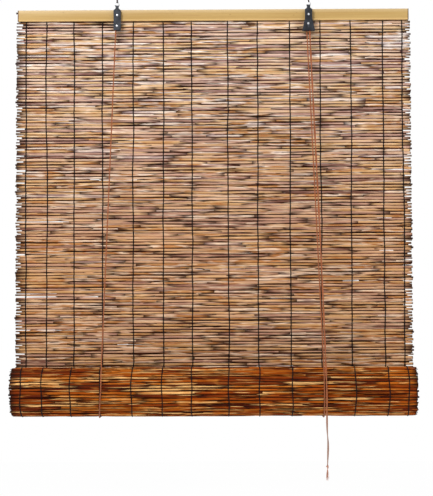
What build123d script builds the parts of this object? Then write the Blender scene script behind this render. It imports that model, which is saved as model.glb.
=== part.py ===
"""Bamboo reed roller blind, hung from two screw hooks and lowered part of the way.

X runs along the rail to the right, Y away from the viewer and Z up. The origin lies midway between
the two screws, on the surface that they are driven into. All sizes are in millimetres. Everything
below the bails is laid out upright, and finish turns it to the slight lean at which it hangs.
"""

import os
from math import acos, atan2, cos, degrees, pi, sin, sqrt, tan
from random import Random

from build123d import *

os.makedirs("parts", exist_ok=True)

# Overall sizes and clearances
blind_width = 1000.0
hook_spacing = 485.0
hang_lean = 1.55
running_gap = 0.3
touch_gap = 0.15
hole_clearance = 0.1

# Screw hooks
hook_wire_d = 3.2
screw_length = 22.0
screw_point = 4.0
collar_d = 9.0
collar_thickness = 1.6
crook_radius = 6.2
crook_bottom_z = -26.0
crook_tip_rise = 35.0

# Wire bails
bail_wire_d = 1.6
bail_half_base = 6.4
bail_corner_radius = 1.3
bail_drop = 10.5
bail_gap = 0.2

# Layers of the rail, counted back from the front of the blocks
block_depth = 10.0
rail_front_y = 4.0
batten_thickness = 8.0
mat_thickness = 7.0

# Head rail
rail_width = blind_width - 8.0
rail_height = 28.0
rail_drop = 24.0
batten_edge = 1.2
batten_crown = 0.8
staple_crown = 10.0
staple_wire = 1.0
staple_bite = 5.0
staple_count = 7
staple_inset = 50.0
staple_below_middle = 5.0

# Pressed-steel blocks
sheet = 0.9
block_half_width = 9.25
neck_half_width = 5.0
neck_waist_half = 3.6
neck_waist_drop = 6.0
shoulder_drop = 11.0
shoulder_rounding = 1.8
bottom_rounding = 1.8
left_block_height = 62.0
right_block_height = 65.5
skirt_half_width = 15.8
skirt_height = 31.5
skirt_lip = 3.0
neck_below_bar = 1.5
ear_radius = 2.4
ear_outer_half = 4.2
back_leaf_gap = 1.5

# Bolts and pins through the blocks
dome_d = 6.4
dome_height = 1.7
bolt_d = 3.4
bolt_below_middle = 1.0
bolt_tail = 0.6
nut_flats = 6.5
nut_thickness = 2.6
pin_d = 2.4
pin_foot_d = 4.4
pin_foot_thickness = 0.8
left_pin_rise = 11.3
right_pin_rise = 18.6
right_pin_shift = -1.0

# Sheave and lock roller in the right block
sheave_root_radius = 1.8
sheave_flange_radius = 3.7
sheave_width = 4.2
sheave_rim = 0.45
roller_radius = 4.2
roller_below_pin = 7.7
roller_flats = 14
trunnion_radius = 1.1
roller_travel = 4.0

# Reed mat
reed_pitch = 7.6
reed_rows = 126
valley_depth = 2.0
reed_shoulder = 2.2
thread_width = 2.4
thread_thickness = 0.6
thread_shares = (-475, -423, -353, -280, -202, -127, -54, 37, 113, 194, 272, 349, 431, 479)
slit_height = 1.4
slit_count = 48
slit_shortest = 16.0
slit_longest = 44.0
end_step = 3.5
end_reach = 9.0

# Roll
roll_axis_drop = 950.0
roll_radius = 62.0
turn_pitch = 8.5
half_turns = 11
ridges_per_half_turn = 24
rolled_thickness = 6.4
thread_bends = 9

# Cords
cord_d = 3.2
pull_d = 4.8
left_sling_shift = -41.0
right_sling_shift = 25.0
pull_shift = 32.5
knot_d = 7.0
knot_taper = 25.0
cord_sides = 8
notch_size = 8.4
cord_bend = 3.4
cord_hole_d = 4.6
cord_hole_shift = 5.0
left_cord_shift = -4.0
strand_depth = 2.7
tail_top_drop = 96.0
tail_drift = 2.0
tail_sway = 2.6
tassel_drop = 181.0
tassel_length = 38.0

# Places that follow from the sizes above
block_front_y = rail_front_y - block_depth
mat_front_y = rail_front_y + batten_thickness
mat_back_y = mat_front_y + mat_thickness
mat_middle_y = (mat_front_y + mat_back_y) / 2
rail_back_y = mat_back_y + batten_thickness
bail_rounding = (hook_wire_d + bail_wire_d) / 2 + bail_gap
apex_z = crook_bottom_z + bail_rounding
bar_z = apex_z - bail_drop
neck_top_z = bar_z - neck_below_bar
rail_middle_z = bar_z - rail_drop
rail_top_z = rail_middle_z + rail_height / 2
rail_bottom_z = rail_middle_z - rail_height / 2
bolt_z = rail_middle_z - bolt_below_middle
left_x = -hook_spacing / 2
right_x = hook_spacing / 2
left_bottom_z = neck_top_z - left_block_height
right_bottom_z = neck_top_z - right_block_height
left_pin_x = left_x + left_cord_shift + cord_d / 2 + pin_d / 2 + bail_gap
left_pin_z = left_bottom_z + left_pin_rise
right_pin_x = right_x + right_pin_shift
right_pin_z = right_bottom_z + right_pin_rise
roll_z = rail_middle_z - roll_axis_drop
roll_y = mat_back_y - roll_radius
mat_bottom_z = roll_z + running_gap
mat_top_z = mat_bottom_z + reed_rows * reed_pitch
thread_radius = (roll_radius + touch_gap) / cos(pi / 2 / thread_bends) + thread_thickness
sling_radius = thread_radius + running_gap + cord_d / 2
pull_bend = thread_radius + running_gap + pull_d / 2
block_inner_back_y = rail_front_y - sheet
sheave_y = block_inner_back_y - running_gap - sheave_width / 2
wrap_radius = sheave_root_radius + bail_gap + cord_d / 2
front_strand_y = block_front_y + sheet + bail_gap + cord_d / 2
strand_x = right_pin_x + wrap_radius
cross_cord_z = mat_top_z + running_gap + cord_d / 2
left_sling_x = left_x + left_sling_shift
right_sling_x = right_x + right_sling_shift
pull_x = right_x + pull_shift
thread_x = [share * blind_width / 1000 for share in thread_shares]
staple_spacing = (rail_width - 2 * staple_inset) / (staple_count - 1)
hanger_places = [(left_x, bolt_z), (right_x, bolt_z)]
left_hole_x = left_x - cord_hole_shift
right_hole_x = right_x + cord_hole_shift
staple_z = rail_middle_z - staple_below_middle
back_leg_y = roll_y + sling_radius
notch_z = rail_top_z - notch_size
knot_z = notch_z + knot_d / 2 + touch_gap
skirt_slope = degrees(atan2(skirt_half_width - block_half_width, skirt_height - skirt_lip))
roller_x = strand_x + cord_d / 2 + bail_gap + roller_radius
roller_z = right_pin_z - roller_below_pin
strand_end_z = right_bottom_z + sheet
pull_y = front_strand_y + strand_depth / 2
tail_top_z = roll_z - tail_top_drop
tassel_z = roll_z - tassel_drop
bolt_end_y = rail_back_y + nut_thickness + bolt_tail
left_exit = (left_x + left_cord_shift, front_strand_y + cord_d, left_bottom_z + sheet - running_gap)
right_exit = (right_pin_x - wrap_radius, sheave_y, strand_end_z - running_gap)


def finish(builder, name, hung=True):
    """Name a finished piece and write it to its own file, turned to its lean if it is hung."""
    part = builder.part
    if hung:
        part = part.rotate(Axis((0, 0, bar_z), (1, 0, 0)), hang_lean)
    part.label = name
    export_step(part, f"parts/{name}.step")


def cord_section(start, across, along, diameter):
    """The many-sided section of a wire or cord, square to its direction."""
    with BuildSketch(Plane(start, across, along), mode=Mode.PRIVATE) as section:
        RegularPolygon(diameter / 2, cord_sides)
    return section.sketch


def add_rod(route, diameter):
    """Wire or cord along a route of straight runs and arcs, added to the open part."""
    runs = route.edges()
    bends = {run: (run @ 0 - run.arc_center).cross(run % 0) for run in runs.filter_by(GeomType.CIRCLE)}
    across = next(iter(bends.values()))
    for run in runs:
        across = bends.get(run, across)
        section = cord_section(run @ 0, across, run % 0, diameter)
        if run in bends:
            axis = Axis(run.arc_center, across)
            revolve(section, axis, revolution_arc=degrees(run.length / run.radius))
        else:
            extrude(section, amount=run.length)


def front_plane(x, y, z):
    """An upright plane through this point that faces the viewer."""
    return Plane(origin=(x, y, z), x_dir=(1, 0, 0), z_dir=(0, -1, 0))


def screw_hooks():
    """Two wire crooks, each with a collar under the surface and a screw above it."""
    crook_z = crook_bottom_z + crook_radius
    shank_top_z = screw_length - screw_point
    low = (Align.CENTER, Align.CENTER, Align.MIN)
    high = (Align.CENTER, Align.CENTER, Align.MAX)
    with BuildPart() as hooks:
        for x in (left_x, right_x):
            with BuildLine(Plane.YZ.offset(x)) as wire:
                FilletPolyline(
                    (0, -collar_thickness / 2),
                    (0, crook_z + 1.8 * crook_radius),
                    (crook_radius, crook_z + 0.8 * crook_radius),
                    (crook_radius, crook_z),
                    radius=crook_radius / 2,
                )
                CenterArc((0, crook_z), crook_radius, 0, -180 - crook_tip_rise)
            add_rod(wire.wire(), hook_wire_d)
            with Locations((x, 0, 0)):
                Cylinder(collar_d / 2, collar_thickness, align=high)
                Cylinder(hook_wire_d / 2, shank_top_z, align=low)
            with Locations((x, 0, shank_top_z)):
                Cone(hook_wire_d / 2, hook_wire_d / 10, screw_point, align=low)
    finish(hooks, "screw_hooks", hung=False)


def bail_tip_z():
    """Height of the bail's tip point, whose rounding is concentric with the wire of the crook."""
    centre = crook_bottom_z - bar_z
    a = bail_half_base**2 - bail_rounding**2
    b = centre * bail_half_base**2
    c = bail_half_base**2 * (centre**2 - bail_rounding**2)
    return bar_z + (b + sqrt(b**2 - a * c)) / a


def wire_bails():
    """Two closed triangles of wire: the tip hangs in a crook, the base carries a block."""
    with BuildPart() as bails:
        for x in (left_x, right_x):
            with BuildLine(Plane.XZ) as wire:
                FilletPolyline(
                    (x - bail_half_base, bar_z),
                    (x + bail_half_base, bar_z),
                    (x, bail_tip_z()),
                    radius=[bail_corner_radius, bail_corner_radius, bail_rounding],
                    close=True,
                )
            add_rod(wire.wire(), bail_wire_d)
    finish(bails, "wire_bails", hung=False)


def block_outline(x, height, skirt):
    """Right half of a block's outline, from the top of the neck down to the bottom edge."""
    top = neck_top_z
    side = [
        (x, top),
        (x + neck_half_width, top),
        (x + neck_waist_half, top - neck_waist_drop),
        (x + block_half_width, top - shoulder_drop),
    ]
    if skirt:
        side += [
            (x + block_half_width, top - height + skirt_height),
            (x + skirt_half_width, top - height + skirt_lip),
        ]
    return side + [(side[-1][0], top - height), (x, top - height)]


def block_face(x, height, skirt, y, inset=0.0):
    """A block's face at depth y, drawn in by the inset."""
    with BuildSketch(Plane.XZ.offset(-y)) as face:
        with BuildLine():
            outline = Polyline(*block_outline(x, height, skirt))
            mirror(outline, about=Plane.YZ.offset(x))
        make_face()
        rows = face.vertices().group_by(Axis.Y)
        corners = [v for v in rows[0] if abs(v.X - x) > block_half_width / 2]
        fillet(list(rows[-2]) + list(rows[-3]), shoulder_rounding)
        fillet(corners, bottom_rounding)
        if inset:
            offset(amount=-inset, kind=Kind.INTERSECTION)
    return face.sketch


def leaf_face(x, height, skirt):
    """The part of a block's face that lies below the rail."""
    with BuildSketch(Plane.XZ.offset(-block_inner_back_y)) as leaf:
        add(block_face(x, height, skirt, 0))
        with Locations((x, rail_bottom_z - back_leaf_gap)):
            Rectangle(
                4 * skirt_half_width,
                2 * height,
                align=(Align.CENTER, Align.MAX),
                mode=Mode.INTERSECT,
            )
    return leaf.sketch


def ear_face(x):
    """Side view of an ear on top of the neck, bored for the base of the bail."""
    with BuildSketch(Plane.YZ.offset(x)) as ear:
        with Locations((0, bar_z)):
            Circle(ear_radius)
            Rectangle(2 * ear_radius, neck_below_bar + sheet, align=(Align.CENTER, Align.MAX))
            Circle(bail_wire_d / 2 + touch_gap, mode=Mode.SUBTRACT)
    return ear.sketch


def slot_face():
    """The sloping slot in the back leaf that guides the lock roller."""
    with BuildSketch(Plane.XZ.offset(-rail_front_y)) as slot:
        with Locations(Location((roller_x, roller_z, 0), (0, 0, skirt_slope - 90))):
            with Locations((roller_travel / 2, 0)):
                SlotCenterToCenter(roller_travel, 2 * (trunnion_radius + bail_gap))
    return slot.sketch


def block_shell(name, x, height, skirt, pin_x, pin_z):
    """A pressed shell, open at the back beside the rail and closed by a leaf below it."""
    inner_half = (skirt_half_width if skirt else block_half_width) - sheet - bottom_rounding
    with BuildPart() as shell:
        extrude(block_face(x, height, skirt, block_front_y), amount=-block_depth)
        inside = block_face(x, height, skirt, block_front_y + sheet, sheet)
        extrude(inside, amount=sheet - block_depth, mode=Mode.SUBTRACT)
        extrude(leaf_face(x, height, skirt), amount=-sheet)
        with Locations((x, (block_front_y + rail_front_y) / 2, neck_top_z - height)):
            Box(2 * inner_half, block_depth - 2 * sheet, 4 * sheet, mode=Mode.SUBTRACT)
        for side in (-1, 1):
            extrude(ear_face(x + side * (ear_outer_half - sheet)), amount=side * sheet)
        with Locations(Plane(origin=(x, block_front_y, bolt_z), z_dir=(0, -1, 0))):
            Hole(bolt_d / 2 + hole_clearance, depth=2 * sheet)
        with Locations(Plane(origin=(pin_x, block_front_y, pin_z), z_dir=(0, -1, 0))):
            Hole(pin_d / 2 + hole_clearance, depth=2 * block_depth)
        if skirt:
            extrude(slot_face(), amount=2 * sheet, mode=Mode.SUBTRACT)
    finish(shell, name)


def headed_pins(name, places, shank_d, tail_y, foot=0.0):
    """Pins along Y with a domed head in front of the block and, if riveted over, a foot."""
    front = block_front_y
    profile = [
        (0, front - dome_height),
        (dome_d / 4, front - 0.85 * dome_height),
        (0.85 * dome_d / 2, front - 0.45 * dome_height),
        (dome_d / 2, front),
        (shank_d / 2, front),
        (shank_d / 2, tail_y),
    ]
    if foot:
        profile += [(pin_foot_d / 2, tail_y), (pin_foot_d / 2, tail_y + foot)]
    profile.append((0, tail_y + foot))
    with BuildPart() as pins:
        for x, z in places:
            with BuildSketch(Plane.XY.offset(z).shift_origin((x, 0, z))):
                with BuildLine():
                    Polyline(*profile, close=True)
                make_face()
            revolve(axis=Axis((x, 0, z), (0, 1, 0)))
    finish(pins, name)


def hanger_nuts():
    """The hexagon nuts of the hanger bolts, behind the rear batten."""
    with BuildPart() as nuts:
        with BuildSketch(Plane.XZ.offset(-rail_back_y)):
            with Locations(*hanger_places):
                RegularPolygon(nut_flats / 2, 6, major_radius=False)
                Circle(bolt_d / 2 + hole_clearance / 2, mode=Mode.SUBTRACT)
        extrude(amount=-nut_thickness)
    finish(nuts, "hanger_nuts")


def batten_section(outer_y, inner_y):
    """End view of a split-bamboo batten, crowned on its outer face."""
    edge_y = outer_y + batten_crown * (1 if inner_y > outer_y else -1)
    with BuildSketch(Plane.YZ.offset(-rail_width / 2)) as section:
        with BuildLine():
            ThreePointArc((edge_y, rail_bottom_z), (outer_y, rail_middle_z), (edge_y, rail_top_z))
            Polyline(
                (edge_y, rail_top_z),
                (inner_y, rail_top_z),
                (inner_y, rail_bottom_z),
                (edge_y, rail_bottom_z),
            )
        make_face()
        fillet(section.vertices(), batten_edge)
    return section.sketch


def front_batten():
    """The batten that shows, bored for the hanger bolts, the cross cord and the staples."""
    with BuildPart() as batten:
        extrude(batten_section(rail_front_y, mat_front_y), amount=rail_width)
        with Locations(Plane.XZ.offset(-rail_front_y)):
            with Locations(*hanger_places):
                Hole(bolt_d / 2 + hole_clearance)
            with Locations((left_hole_x, cross_cord_z), (right_hole_x, cross_cord_z)):
                Hole(cord_hole_d / 2)
        punch_staples(mat_front_y, staple_bite + hole_clearance)
    finish(batten, "front_batten")


def rear_batten():
    """The batten behind the mat, with a sawn slot and a notch for each tied cord end."""
    low = (Align.CENTER, Align.CENTER, Align.MIN)
    slot_width = cord_d + 2 * running_gap
    with BuildPart() as batten:
        extrude(batten_section(rail_back_y, mat_back_y), amount=rail_width)
        with Locations(Plane.XZ.offset(-mat_back_y)):
            with Locations(*hanger_places):
                Hole(bolt_d / 2 + hole_clearance)
        punch_staples(rail_back_y, batten_thickness)
        for x in (left_sling_x, right_sling_x):
            with Locations((x, back_leg_y + (batten_thickness - slot_width) / 2, rail_bottom_z)):
                Box(slot_width, batten_thickness, rail_height, align=low, mode=Mode.SUBTRACT)
            with Locations((x, (mat_back_y + rail_back_y) / 2, notch_z)):
                Box(notch_size, batten_thickness, notch_size, align=low, mode=Mode.SUBTRACT)
    finish(batten, "rear_batten")


def staple_plane(y):
    """The plane at this depth that the staples are driven through, seen from behind."""
    return Plane(origin=(0, y, staple_z), x_dir=(1, 0, 0), z_dir=(0, 1, 0))


def punch_staples(y, depth):
    """Cut the holes of the staples' legs in the open part, this deep from the plane at y."""
    size = staple_wire + 2 * hole_clearance
    deep = (Align.CENTER, Align.CENTER, Align.MAX)
    with Locations(staple_plane(y)):
        with GridLocations(staple_spacing, 1, staple_count, 1):
            with GridLocations(staple_crown - staple_wire, 1, 2, 1):
                Box(size, size, depth, align=deep, mode=Mode.SUBTRACT)


def batten_staples():
    """Staples from behind, through the rear batten and the mat into the front batten."""
    leg = rail_back_y - mat_front_y + staple_bite
    with BuildPart() as staples:
        with Locations(staple_plane(rail_back_y)):
            with GridLocations(staple_spacing, 1, staple_count, 1):
                Box(
                    staple_crown,
                    staple_wire,
                    staple_wire,
                    align=(Align.CENTER, Align.CENTER, Align.MIN),
                )
                with GridLocations(staple_crown - staple_wire, 1, 2, 1):
                    Box(staple_wire, staple_wire, leg, align=(Align.CENTER, Align.CENTER, Align.MAX))
    finish(staples, "batten_staples")


def reed_profile():
    """End view of the hanging mat: one flat-topped ridge a reed on both faces."""
    lower = mat_bottom_z
    front, back = [(mat_front_y + valley_depth, lower)], [(mat_back_y - valley_depth, lower)]
    for row in range(reed_rows):
        z = lower + row * reed_pitch
        steps = (
            (0, z + reed_shoulder),
            (0, z + reed_pitch - reed_shoulder),
            (valley_depth, z + reed_pitch),
        )
        front += [(mat_front_y + depth, height) for depth, height in steps]
        back += [(mat_back_y - depth, height) for depth, height in steps]
    return front + back[::-1]


def ragged_outline():
    """Front view of the mat, whose reeds end unevenly at both sides."""
    chance = Random(11)
    left, right = [], []
    for row in range(reed_rows):
        z = mat_bottom_z + row * reed_pitch
        for points, side in ((left, -1), (right, 1)):
            reach = end_reach if chance.random() < 0.12 else end_step
            x = side * blind_width / 2 + reach * (2 * chance.random() - 1)
            points += [(x, z), (x, z + reed_pitch)]
    return left + right[::-1]


def slit_places():
    """Middle points and lengths of the gaps between reeds, each between two warp threads."""
    chance = Random(5)
    visible_rows = int((rail_bottom_z - mat_bottom_z) / reed_pitch) - 1
    bays = list(zip(thread_x[:-1], thread_x[1:]))
    wide_bays = [bay for bay in bays if bay[1] - bay[0] > slit_longest + 4 * thread_width]
    for row in chance.sample(range(1, visible_rows), slit_count):
        low, high = chance.choice(wide_bays)
        length = slit_shortest + (slit_longest - slit_shortest) * chance.random()
        margin = length / 2 + 2 * thread_width
        x = low + margin + (high - low - 2 * margin) * chance.random()
        yield x, mat_bottom_z + row * reed_pitch, length


def hanging_mat():
    """The part of the mat that hangs, ridged by its reeds, with slits where reeds lie apart."""
    reach = blind_width / 2 + end_reach
    with BuildPart() as mat:
        with BuildSketch(Plane.YZ.offset(-reach)):
            with BuildLine():
                Polyline(*reed_profile(), close=True)
            make_face()
        extrude(amount=2 * reach)
        with BuildSketch(Plane.XZ.offset(-mat_front_y)):
            with BuildLine():
                Polyline(*ragged_outline(), close=True)
            make_face()
            for x, z, length in slit_places():
                with Locations((x, z)):
                    Rectangle(length, slit_height, mode=Mode.SUBTRACT)
        extrude(amount=-mat_thickness, mode=Mode.INTERSECT)
        with Locations(Plane.XZ.offset(-mat_front_y)):
            with Locations(*hanger_places):
                Hole(bolt_d / 2 + hole_clearance)
        punch_staples(mat_back_y, mat_thickness)
    finish(mat, "hanging_mat")


def warp_threads():
    """The threads on both faces of the hanging mat, from the rail down to the roll."""
    top_z = rail_bottom_z - touch_gap
    with BuildPart() as threads:
        with Locations(*[(x, mat_middle_y, mat_bottom_z) for x in thread_x]):
            Box(
                thread_width,
                mat_thickness + 2 * thread_thickness,
                top_z - mat_bottom_z,
                align=(Align.CENTER, Align.CENTER, Align.MIN),
            )
            Box(
                2 * thread_width,
                mat_thickness,
                top_z - mat_bottom_z,
                align=(Align.CENTER, Align.CENTER, Align.MIN),
                mode=Mode.SUBTRACT,
            )
    finish(threads, "warp_threads")


def turn_centre_y(half_turn):
    """The roll's half turns swing about two centres in turn, so that it winds inwards."""
    return roll_y if half_turn % 2 == 0 else roll_y - turn_pitch / 2


def on_turn(radius, angle):
    """A point on the outer turn, at this angle wound down and round from the back."""
    half_turn = min(int(angle // pi), 1)
    swing = radius - half_turn * turn_pitch / 2
    return turn_centre_y(half_turn) + swing * cos(angle), roll_z - swing * sin(angle)


def half_turn_arc(half_turn, radius):
    """One half turn from back to front below the axis, or from front to back above it."""
    below = half_turn % 2 == 0
    start = 0 if below else 180
    return CenterArc((turn_centre_y(half_turn), roll_z), radius, start, -180)


def mat_roll():
    """The wound part of the mat: a spiral whose outer turn shows its reeds."""
    ridge = pi / ridges_per_half_turn
    edge = ridge * reed_shoulder / reed_pitch
    outside = [on_turn(roll_radius - valley_depth, 0)]
    for number in range(2 * ridges_per_half_turn):
        start = number * ridge
        outside.append(on_turn(roll_radius, start + edge))
        outside.append(on_turn(roll_radius, start + ridge - edge))
        outside.append(on_turn(roll_radius - valley_depth, start + ridge))
    radii = [roll_radius - turn * turn_pitch / 2 for turn in range(half_turns)]
    with BuildPart() as roll:
        with BuildSketch(Plane.YZ.offset(-blind_width / 2)):
            with BuildLine():
                Polyline(*outside)
                outer = [half_turn_arc(turn, radii[turn]) for turn in range(2, half_turns)]
                inner = [
                    half_turn_arc(turn, radii[turn] - rolled_thickness)
                    for turn in range(half_turns)
                ]
                Line(outside[-1], outer[0] @ 0)
                Line(outer[-1] @ 1, inner[-1] @ 1)
                Line(inner[0] @ 0, outside[0])
            make_face()
        extrude(amount=blind_width)
    finish(roll, "mat_roll")


def roll_threads():
    """The warp threads round the outer turn of the roll, up to where the hanging mat hides them."""
    bend = pi / thread_bends
    swing = (roll_radius + touch_gap) / cos(bend / 2)
    angles = [number * bend for number in range(2 * thread_bends)]
    inside = [on_turn(swing, angle) for angle in angles]
    outside = [on_turn(swing + thread_thickness, angle) for angle in angles]
    with BuildPart() as threads:
        for x in thread_x:
            with BuildSketch(Plane.YZ.offset(x - thread_width / 2)):
                with BuildLine():
                    Polyline(*outside, *inside[::-1], close=True)
                make_face()
        extrude(amount=thread_width)
    finish(threads, "roll_threads")


def bottom_pole():
    """The bamboo pole that the mat is wound on."""
    last = half_turns - 1
    radius = roll_radius - last * turn_pitch / 2 - rolled_thickness - running_gap
    with BuildPart() as pole:
        with BuildSketch(Plane.YZ.offset(-blind_width / 2)):
            with Locations((turn_centre_y(last), roll_z)):
                Circle(radius)
        extrude(amount=blind_width)
    finish(pole, "bottom_pole")


def right_sheave():
    """A grooved sheave on the right block's pin."""
    half = sheave_width / 2
    with BuildPart() as sheave:
        with BuildSketch(Plane(origin=(right_pin_x, sheave_y, right_pin_z), z_dir=(0, 0, 1))):
            with BuildLine():
                Polyline(
                    (pin_d / 2 + hole_clearance, -half),
                    (sheave_flange_radius, -half),
                    (sheave_root_radius, -half + sheave_rim),
                    (sheave_root_radius, half - sheave_rim),
                    (sheave_flange_radius, half),
                    (pin_d / 2 + hole_clearance, half),
                    close=True,
                )
            make_face()
        revolve(axis=Axis((right_pin_x, 0, right_pin_z), (0, 1, 0)))
    finish(sheave, "right_sheave")


def lock_roller():
    """A many-sided roller that jams the strands against the sheave, with a trunnion in the slot."""
    length = block_depth - 2 * sheet - 2 * bail_gap
    front_y = block_front_y + sheet + bail_gap
    with BuildPart() as roller:
        with BuildSketch(Plane.XZ.offset(-front_y)):
            with Locations((roller_x, roller_z)):
                RegularPolygon(roller_radius, roller_flats)
        extrude(amount=-length)
        with BuildSketch(Plane.XZ.offset(-front_y - length)):
            with Locations((roller_x, roller_z)):
                Circle(trunnion_radius)
        extrude(amount=-sheet - bail_gap)
    finish(roller, "lock_roller")


def straight_cord(name, start, end, diameter, knot=False):
    """A taut run of cord between two points, with a stopper knot at its end if it is tied there."""
    run = Vector(*end) - Vector(*start)
    with BuildPart() as cord:
        extrude(cord_section(start, (1, 0, 0), run, diameter), amount=run.length)
        if knot:
            middle = cord_section(end, (1, 0, 0), run, knot_d)
            extrude(middle, amount=knot_d / 2, both=True, taper=knot_taper)
    finish(cord, name)


def bent_cord(name, points, radii, diameter):
    """A cord along straight runs joined by arcs, one radius a corner."""
    with BuildPart() as cord:
        with BuildLine() as route:
            FilletPolyline(*points, radius=radii)
        add_rod(route.wire(), diameter)
    finish(cord, name)


def tangent_angle(y, z, radius):
    """Angle about the roll's axis at which a cord from this point meets a circle in front of it."""
    away_y, away_z = y - roll_y, z - roll_z
    return atan2(away_z, away_y) + acos(radius / sqrt(away_y**2 + away_z**2))


def lift_slings():
    """The bights of the lift cords under the roll, from the back leg round to the front leg."""
    with BuildPart() as slings:
        for x, (_, exit_y, exit_z) in ((left_sling_x, left_exit), (right_sling_x, right_exit)):
            angle = tangent_angle(exit_y, exit_z, sling_radius)
            with BuildLine(Plane.YZ.offset(x)) as bight:
                CenterArc((roll_y, roll_z), sling_radius, 0, degrees(angle) - 360)
            add_rod(bight.wire(), cord_d)
    finish(slings, "lift_slings")


def lift_cord(side, x, block_end):
    """The legs of one lift cord: tied behind and down the back, then up the front to its block."""
    angle = tangent_angle(block_end[1], block_end[2], sling_radius)
    foot = Vector(x, roll_y + sling_radius * cos(angle), roll_z + sling_radius * sin(angle))
    rise = (Vector(*block_end) - foot).normalized()
    lower = foot + rise * running_gap
    straight_cord(f"{side}_lift_front", tuple(lower), block_end, cord_d)
    back_foot = (x, back_leg_y, roll_z + running_gap)
    straight_cord(f"{side}_lift_back", back_foot, (x, back_leg_y, knot_z), cord_d, knot=True)


def cross_cord():
    """The left cord's way through the rail to the right block, where it becomes a pull strand."""
    points = [
        (left_x + left_cord_shift, front_strand_y + cord_d, left_bottom_z + sheet),
        (left_hole_x, front_strand_y, cross_cord_z),
        (left_hole_x, mat_middle_y, cross_cord_z),
        (right_hole_x, mat_middle_y, cross_cord_z),
        (right_hole_x, front_strand_y, cross_cord_z),
        (strand_x, front_strand_y, right_pin_z),
        (strand_x, front_strand_y, strand_end_z),
    ]
    bent_cord("cross_cord", points, [cord_bend] * 4 + [20 * cord_bend], cord_d)


def turn_cord():
    """The right cord's turn over the sheave, down to the pull cord."""
    low = strand_end_z - right_pin_z
    with BuildPart() as cord:
        with BuildLine(front_plane(right_pin_x, sheave_y, right_pin_z)) as route:
            Line((-wrap_radius, low), (-wrap_radius, 0))
            CenterArc((0, 0), wrap_radius, 180, -180)
            Line((wrap_radius, 0), (wrap_radius, low))
        add_rod(route.wire(), cord_d)
    finish(cord, "turn_cord")


def pull_cord():
    """The pull cord down to below the roll: over the front of the roll, then straight down."""
    top = (strand_x, pull_y, strand_end_z - running_gap)
    angle = tangent_angle(top[1], top[2], pull_bend)
    front_y = roll_y - pull_bend
    corner_z = roll_z + pull_bend * tan((pi - angle) / 2)
    points = [top, (pull_x, front_y, corner_z), (pull_x + tail_drift, front_y, tail_top_z)]
    bent_cord("pull_cord", points, [pull_bend], pull_d)


def pull_tail():
    """The limp lower part of the pull cord."""
    x, y = pull_x + tail_drift, roll_y - pull_bend
    top, foot = tail_top_z - running_gap, tassel_z + running_gap
    third = (top - foot) / 3
    points = [
        (x, y, top),
        (x + tail_sway, y, top - third),
        (x + tail_sway, y, top - 2 * third),
        (x, y, foot),
    ]
    turn = atan2(tail_sway, third)
    bent_cord("pull_tail", points, [third / 2.2 / tan(turn / 2)] * 2, pull_d)


def pull_knot():
    """The overhand knot at the end of the pull cord and the frayed tuft below it."""
    rings = [
        (0, pull_d),
        (-knot_d / 4, knot_d),
        (-3 * knot_d / 4, knot_d),
        (-knot_d, pull_d),
        (-tassel_length, knot_d),
    ]
    with BuildPart() as knot:
        for (upper, top_d), (lower, foot_d) in zip(rings, rings[1:]):
            for rise, width in ((upper, top_d), (lower, foot_d)):
                with BuildSketch(Plane((pull_x + tail_drift, roll_y - pull_bend, tassel_z + rise))):
                    RegularPolygon(width / 2, cord_sides)
            loft(ruled=True)
    finish(knot, "pull_knot")


screw_hooks()
wire_bails()

block_shell("left_block_shell", left_x, left_block_height, False, left_pin_x, left_pin_z)
block_shell("right_block_shell", right_x, right_block_height, True, right_pin_x, right_pin_z)
headed_pins("hanger_bolts", hanger_places, bolt_d, bolt_end_y)
hanger_nuts()
left_pin, right_pin = [(left_pin_x, left_pin_z)], [(right_pin_x, right_pin_z)]
headed_pins("left_cord_pin", left_pin, pin_d, rail_front_y, pin_foot_thickness)
headed_pins("right_sheave_pin", right_pin, pin_d, rail_front_y, pin_foot_thickness)
right_sheave()
lock_roller()

front_batten()
rear_batten()
batten_staples()
hanging_mat()
warp_threads()

mat_roll()
roll_threads()
bottom_pole()

lift_slings()
lift_cord("left", left_sling_x, left_exit)
lift_cord("right", right_sling_x, right_exit)
cross_cord()
turn_cord()
pull_cord()
pull_tail()
pull_knot()
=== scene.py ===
"""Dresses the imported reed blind: split reeds, threads, twisted cords, finishes, light and camera."""

import math
import random

import bpy
import numpy as np
from mathutils import Matrix, Vector


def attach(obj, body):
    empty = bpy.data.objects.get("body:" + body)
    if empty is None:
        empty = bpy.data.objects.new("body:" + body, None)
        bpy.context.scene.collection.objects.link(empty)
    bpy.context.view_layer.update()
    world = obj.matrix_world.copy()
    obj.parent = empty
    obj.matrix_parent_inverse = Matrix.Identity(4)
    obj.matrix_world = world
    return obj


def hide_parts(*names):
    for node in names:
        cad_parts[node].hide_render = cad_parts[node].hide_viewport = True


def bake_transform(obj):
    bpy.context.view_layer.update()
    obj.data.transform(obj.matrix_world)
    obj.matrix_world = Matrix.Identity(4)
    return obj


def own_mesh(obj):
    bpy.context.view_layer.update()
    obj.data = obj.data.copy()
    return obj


bl_info = {
    "name": "Reed Roller Blind",
    "version": (1, 0, 0),
    "blender": (4, 5, 0),
    "location": "View3D > Sidebar > Reed Blind",
    "description": "Weaves, rolls up and strings a bamboo reed blind round its packed model",
    "category": "Object",
}

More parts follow.
